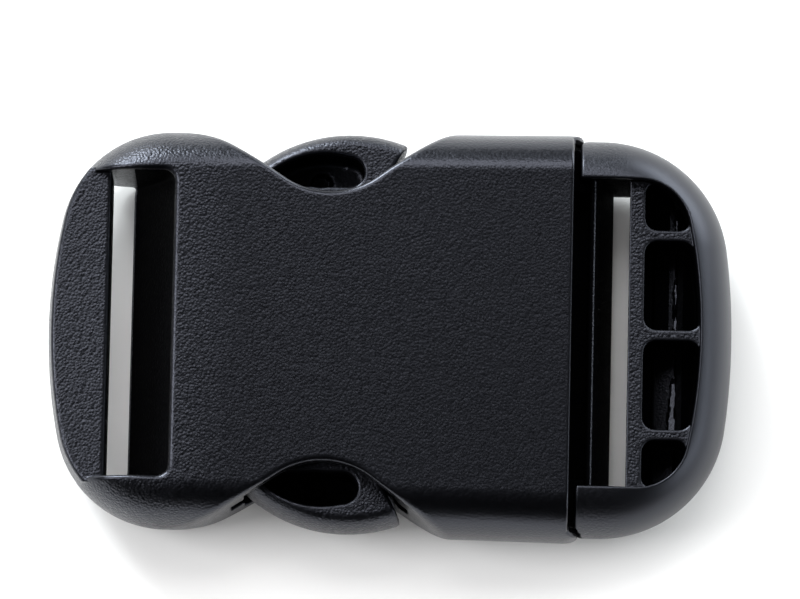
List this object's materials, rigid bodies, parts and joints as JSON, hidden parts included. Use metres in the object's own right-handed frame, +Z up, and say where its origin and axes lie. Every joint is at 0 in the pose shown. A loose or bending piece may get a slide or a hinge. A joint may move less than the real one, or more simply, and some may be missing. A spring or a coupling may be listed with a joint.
{
  "type": "side release buckle",
  "caption": "Fastened side release buckle in black moulded plastic: a hollow socket with a webbing slot, holding a plug with springy arms and a ring for an adjustable strap.",
  "frame": {"origin": "centre of the footprint, on the surface that the buckle lies on", "axes": "+X along the buckle from the socket's webbing bar to the plug's ring, +Y across it, +Z up"},
  "size_m": [0.0568, 0.0342, 0.0104],
  "materials": {
    "socket_plastic": "fine spark-eroded grain, black with a blue cast",
    "plug_plastic": "fine spark-eroded grain, smoother on the ring's outer side"
  },
  "bodies": {
    "root": {"socket_body": "socket_plastic", "plug_body": "plug_plastic"}
  },
  "joints": []
}
